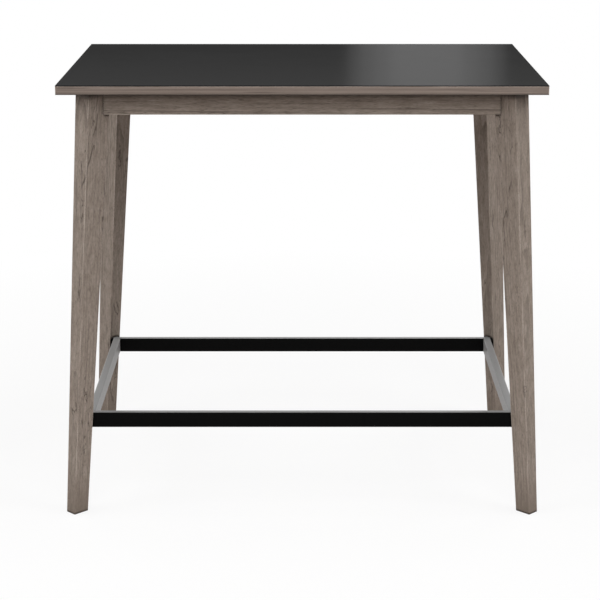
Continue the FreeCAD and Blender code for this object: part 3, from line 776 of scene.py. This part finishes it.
def thread(tree, core, height, base, pitch, ridge):
    """A sharp ridge wound round a core from its base height upwards."""
    inputs = {"Resolution": THREAD_STEPS, "Rotations": calc(tree, "DIVIDE", height, pitch),
              "Start Radius": core, "End Radius": core, "Height": height}
    line = add_node(tree, "GeometryNodeCurveSpiral", inputs).outputs[0]
    inputs = {"Resolution": 3, "Radius": ridge}
    edge = add_node(tree, "GeometryNodeCurvePrimitiveCircle", inputs).outputs[0]
    inputs = {"Curve": line, "Profile Curve": edge, "Fill Caps": True}
    return lifted(tree, add_node(tree, "GeometryNodeCurveToMesh", inputs).outputs[0], base)


def joined(tree, *bodies):
    made = tree.nodes.new("GeometryNodeJoinGeometry")
    for body in bodies:
        tree.links.new(body, made.inputs[0])
    return made.outputs[0]


def cut(tree, operation, body, *tools):
    """The body less its tools, or what it shares with them."""
    made = tree.nodes.new("GeometryNodeMeshBoolean")
    made.operation = operation
    made.solver = "EXACT"
    if operation == "DIFFERENCE":
        tree.links.new(body, made.inputs["Mesh 1"])
    else:
        tools = (body,) + tools
    for tool in tools:
        tree.links.new(tool, made.inputs["Mesh 2"])
    return made.outputs["Mesh"]


def finish_tree(tree, given, body, seed):
    """Sets the body on every point, along the point's axis and turned at random about it."""
    spin = add_node(tree, "FunctionNodeRandomValue", {"Seed": seed}, data_type="FLOAT")
    spin.inputs[3].default_value = math.tau
    turn = add_node(tree, "ShaderNodeCombineXYZ", {2: spin.outputs[1]}).outputs[0]
    turn = add_node(tree, "FunctionNodeEulerToRotation", {0: turn}).outputs[0]
    axis = add_node(tree, "GeometryNodeInputNamedAttribute", {"Name": "axis"},
                    data_type="FLOAT_VECTOR")
    turn = add_node(tree, "FunctionNodeAlignRotationToVector",
                    {"Rotation": turn, "Vector": axis.outputs[0]}, axis="Z").outputs[0]
    inputs = {"Points": given["Geometry"], "Instance": body, "Rotation": turn}
    placed = add_node(tree, "GeometryNodeInstanceOnPoints", inputs).outputs[0]
    solid = add_node(tree, "GeometryNodeRealizeInstances", {0: placed}).outputs[0]
    inputs = {"Geometry": solid, "Material": given["Material"]}
    coated = add_node(tree, "GeometryNodeSetMaterial", inputs)
    out = tree.nodes.new("NodeGroupOutput")
    tree.links.new(coated.outputs[0], out.inputs[0])
    return tree


def wood_screw_tree():
    """A countersunk wood screw with a cross recess, its head's face at the point."""
    tree, given = fastener_tree("wood_screw", ("Shank", "Head", "Length"))
    shank, head, length = given["Shank"], given["Head"], given["Length"]
    half_head = times(tree, head, 0.5)
    half_shank = times(tree, shank, 0.5)
    core = times(tree, shank, WOOD_CORE)
    sink = less(tree, half_head, half_shank)
    face = times(tree, sink, -1.0)
    cone = frustum(tree, half_shank, half_head, sink, face)
    sizes = {axis: times(tree, head, share) for axis, share in enumerate(RECESS)}
    size = add_node(tree, "ShaderNodeCombineXYZ", sizes).outputs[0]
    bit = add_node(tree, "GeometryNodeMeshCube", {"Size": size}).outputs[0]
    inputs = {"Geometry": bit, "Rotation": (0.0, 0.0, math.pi / 2)}
    crossed = add_node(tree, "GeometryNodeTransform", inputs).outputs[0]
    cone = cut(tree, "DIFFERENCE", cone, bit, crossed)
    point = less(tree, shank, length)                    # where the taper starts
    smooth = times(tree, length, -SMOOTH_LENGTH)         # where the thread ends
    plain = frustum(tree, half_shank, half_shank, less(tree, face, smooth), smooth)
    threaded = less(tree, smooth, point)
    stem = frustum(tree, core, core, threaded, point)
    tip = frustum(tree, times(tree, shank, SCREW_POINT), core, shank, times(tree, length, -1.0))
    wound = thread(tree, core, threaded, point, times(tree, shank, SCREW_PITCH),
                   times(tree, shank, WOOD_RIDGE))
    return finish_tree(tree, given, joined(tree, cone, plain, stem, tip, wound), seed=3)


def hanger_bolt_tree():
    """A bolt with a machine thread at the point's end and a coarse wood thread at the other."""
    tree, given = fastener_tree("hanger_bolt",
                                ("Diameter", "Length", "Machine Pitch", "Wood Pitch"))
    diameter, length, pitch = given["Diameter"], given["Length"], given["Machine Pitch"]
    half = times(tree, diameter, 0.5)
    chamfer = times(tree, diameter, BOLT_CHAMFER)
    root = times(tree, diameter, MACHINE_ROOT)
    core = times(tree, diameter, WOOD_CORE)
    end = frustum(tree, root, less(tree, root, chamfer), chamfer, times(tree, chamfer, -1.0))
    machine = times(tree, length, MACHINE_LENGTH)
    machine_base = times(tree, machine, -1.0)
    machine_height = less(tree, machine, chamfer)
    upper = frustum(tree, root, root, machine_height, machine_base)
    fine = thread(tree, root, machine_height, machine_base, pitch,
                  times(tree, pitch, MACHINE_RIDGE))
    wood_top = times(tree, length, -WOOD_START)
    plain = frustum(tree, half, half, less(tree, machine_base, wood_top), wood_top)
    point = less(tree, half, length)                     # where the taper starts
    wood_height = less(tree, wood_top, point)
    lower = frustum(tree, core, core, wood_height, point)
    coarse = thread(tree, core, wood_height, point, given["Wood Pitch"],
                    times(tree, diameter, WOOD_RIDGE))
    tip = frustum(tree, times(tree, diameter, BOLT_POINT), core, half, times(tree, length, -1.0))
    body = joined(tree, end, upper, fine, plain, lower, coarse, tip)
    return finish_tree(tree, given, body, seed=5)


def hex_nut_tree():
    """A six-sided nut with both faces chamfered, its middle at the point."""
    tree, given = fastener_tree("hex_nut", ("Across Flats", "Thickness", "Bore"))
    width, thickness = given["Across Flats"], given["Thickness"]
    base = times(tree, thickness, -0.5)
    rim = times(tree, width, NUT_FACE)
    flare = calc(tree, "MULTIPLY_ADD", thickness, math.sqrt(3.0), rim)
    radius = calc(tree, "DIVIDE", width, math.sqrt(3.0))
    inputs = {"Vertices": 6, "Radius": radius, "Depth": thickness}
    hexagon = add_node(tree, "GeometryNodeMeshCylinder", inputs).outputs["Mesh"]
    upper = frustum(tree, flare, rim, thickness, base)
    lower = frustum(tree, rim, flare, thickness, base)
    body = cut(tree, "INTERSECT", hexagon, upper, lower)
    bore = times(tree, given["Bore"], 0.5)
    hole = frustum(tree, bore, bore, times(tree, thickness, 2.0), times(tree, thickness, -1.0))
    return finish_tree(tree, given, cut(tree, "DIFFERENCE", body, hole), seed=7)


def flat_ring(tree, outer, inner, thickness):
    """A flat ring with rounded edges about its own middle."""
    width = times(tree, less(tree, outer, inner), 0.5)
    middle = times(tree, calc(tree, "ADD", outer, inner), 0.25)
    inputs = {"Resolution": RING_STEPS, "Radius": middle}
    path = add_node(tree, "GeometryNodeCurvePrimitiveCircle", inputs).outputs[0]
    path = add_node(tree, "GeometryNodeSetCurveNormal", {0: path}, mode="Z_UP").outputs[0]
    inputs = {"Width": width, "Height": thickness}
    section = add_node(tree, "GeometryNodeCurvePrimitiveQuadrilateral", inputs).outputs[0]
    rounding = times(tree, thickness, ROUNDING)
    inputs = {"Curve": section, "Count": ROUNDING_STEPS, "Radius": rounding}
    section = add_node(tree, "GeometryNodeFilletCurve", inputs, mode="POLY").outputs[0]
    inputs = {"Curve": path, "Profile Curve": section}
    return add_node(tree, "GeometryNodeCurveToMesh", inputs).outputs[0]


def washer_tree():
    tree, given = fastener_tree("washer", ("Outer Diameter", "Inner Diameter", "Thickness"))
    body = flat_ring(tree, given["Outer Diameter"], given["Inner Diameter"], given["Thickness"])
    return finish_tree(tree, given, body, seed=11)


def glide_tree():
    """A nail-on glide: a disc with a rounded rim that lies on the point, and its nail above."""
    tree, given = fastener_tree("glide", ("Diameter", "Thickness", "Nail", "Nail Length"))
    thickness, nail = given["Thickness"], given["Nail"]
    half_nail = times(tree, nail, 0.5)
    ring = flat_ring(tree, given["Diameter"], times(tree, nail, GLIDE_HOLE), thickness)
    disc = lifted(tree, ring, times(tree, thickness, 0.5))
    sunk = times(tree, thickness, NAIL_START)
    point = times(tree, nail, NAIL_POINT)
    shank_top = less(tree, calc(tree, "ADD", thickness, given["Nail Length"]), point)
    shank = frustum(tree, half_nail, half_nail, less(tree, shank_top, sunk), sunk)
    tip = frustum(tree, half_nail, times(tree, half_nail, NAIL_TIP), point, shank_top)
    return finish_tree(tree, given, joined(tree, disc, shank, tip), seed=13)


def loose_pieces(node):
    """The corner points of each separate solid in a node, as one array to a solid."""
    mesh = bmesh.new()
    mesh.from_mesh(nodes[node].data)
    bmesh.ops.remove_doubles(mesh, verts=mesh.verts, dist=JOIN_DISTANCE)
    seen = set()
    pieces = []
    for start in mesh.verts:
        if start in seen:
            continue
        seen.add(start)
        reached = [start]
        for vertex in reached:
            for edge in vertex.link_edges:
                other = edge.other_vert(vertex)
                if other not in seen:
                    seen.add(other)
                    reached.append(other)
        pieces.append(np.array([vertex.co[:] for vertex in reached]))
    mesh.free()
    return pieces


def head_and_axis(points):
    """The middle of a turned solid's wider end, the direction to it from the point, its length."""
    middle = points.mean(0)
    axis = np.linalg.svd(points - middle)[2][0]
    along = (points - middle) @ axis
    radius = np.linalg.norm((points - middle) - np.outer(along, axis), axis=1)
    first, last = along < along.min() + END_DEPTH, along > along.max() - END_DEPTH
    if radius[last].max() < radius[first].max():
        axis, along = -axis, -along
    return middle + axis * along.max(), np.round(axis, 5), float(np.ptp(along))


def repeat(name, tree, places, sizes, material, slot, *replaced):
    """One piece made of a fastener at each place; a place is a point and an axis."""
    mesh = bpy.data.meshes.new(name)
    mesh.from_pydata([tuple(place[0]) for place in places], [], [])
    held = mesh.attributes.new("axis", "FLOAT_VECTOR", "POINT")
    held.data.foreach_set("vector", [value for place in places for value in place[1]])
    piece = bpy.data.objects.new(name, mesh)
    bpy.context.scene.collection.objects.link(piece)
    modifier = piece.modifiers.new("fasteners", "NODES")
    modifier.node_group = tree
    values = dict(sizes, Material=material)
    for item in tree.interface.items_tree:
        if item.in_out == "INPUT" and item.name in values:
            modifier[item.identifier] = values[item.name]
    bpy.context.view_layer.update()
    shown = piece.evaluated_get(bpy.context.evaluated_depsgraph_get())
    plain = bpy.data.meshes.new_from_object(shown)
    piece.modifiers.remove(modifier)
    piece.data = plain
    plain.name = name
    plain.materials.clear()
    plain.materials.append(material)
    plain.polygons.foreach_set("material_index", [0] * len(plain.polygons))
    plain.shade_smooth()
    plain.set_sharp_from_angle(angle=math.radians(SHARP_ANGLE))
    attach(piece, "root")
    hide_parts(*replaced)


def make_fasteners(zinc, black_screw, glide_nylon):
    screw = wood_screw_tree()
    for name, sizes, material, slot in (
            ("block_screws", BLOCK_SCREW, zinc, "zinc_steel"),
            ("top_screws", TOP_SCREW, zinc, "zinc_steel"),
            ("bracket_screws", BRACKET_SCREW, zinc, "zinc_steel"),
            ("footrest_screws", PLATE_SCREW, black_screw, "black_screw")):
        places = [head_and_axis(points) for points in loose_pieces(name)]
        repeat("turned_" + name, screw, places, sizes, material, slot, name)

    bolts = [head_and_axis(points) for points in loose_pieces("hanger_bolts")]
    repeat("threaded_hanger_bolts", hanger_bolt_tree(), bolts,
           {"Diameter": BOLT_DIAMETER, "Length": bolts[0][2],
            "Machine Pitch": MACHINE_PITCH, "Wood Pitch": WOOD_PITCH},
           zinc, "zinc_steel", "hanger_bolts")

    def on_bolts(node):
        """The middle of each solid in a node, with the axis of the nearest bolt."""
        places = []
        for points in loose_pieces(node):
            middle = points.mean(0)
            nearest = min(bolts, key=lambda bolt: np.linalg.norm(bolt[0] - middle))
            places.append((middle, nearest[1]))
        return places

    repeat("chamfered_hanger_nuts", hex_nut_tree(), on_bolts("hanger_nuts"), NUT,
           zinc, "zinc_steel", "hanger_nuts")
    repeat("rounded_hanger_washers", washer_tree(), on_bolts("hanger_washers"), WASHER,
           zinc, "zinc_steel", "hanger_washers")

    glide = glide_tree()
    for corner in CORNERS:
        low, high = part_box("foot_glide_" + corner)
        foot = Vector(((low.x + high.x) / 2.0, (low.y + high.y) / 2.0, low.z))
        repeat("nailed_glide_" + corner, glide, [(foot, UP)], GLIDE,
               glide_nylon, "glide_nylon", "foot_glide_" + corner)


def finish_the_rest():
    set_material("top_laminate", black_laminate())
    set_material("top_core", particle_board())
    set_material("top_backer", backing_sheet())
    black_steel = powder_coat()
    for side in SIDES:
        set_material("footrest_rail_" + side, black_steel)
    for corner in CORNERS:
        set_material("footrest_plate_" + corner, black_steel)
    black_screw = bare_metal("black_screw", BLACK_OXIDE, WORN_OXIDE,
                             roughness=0.35, grain_size=0.0005)
    zinc = bare_metal("zinc_steel", rgb(188, 190, 190), rgb(214, 214, 212),
                      roughness=0.32, grain_size=0.0016)
    set_material("top_brackets", zinc)
    make_fasteners(zinc, black_screw, nylon())


make_camera()
make_backdrop()
make_floor()
make_lights()
finish_wood()
finish_the_rest()

bpy.context.scene.view_settings.view_transform = "Standard"
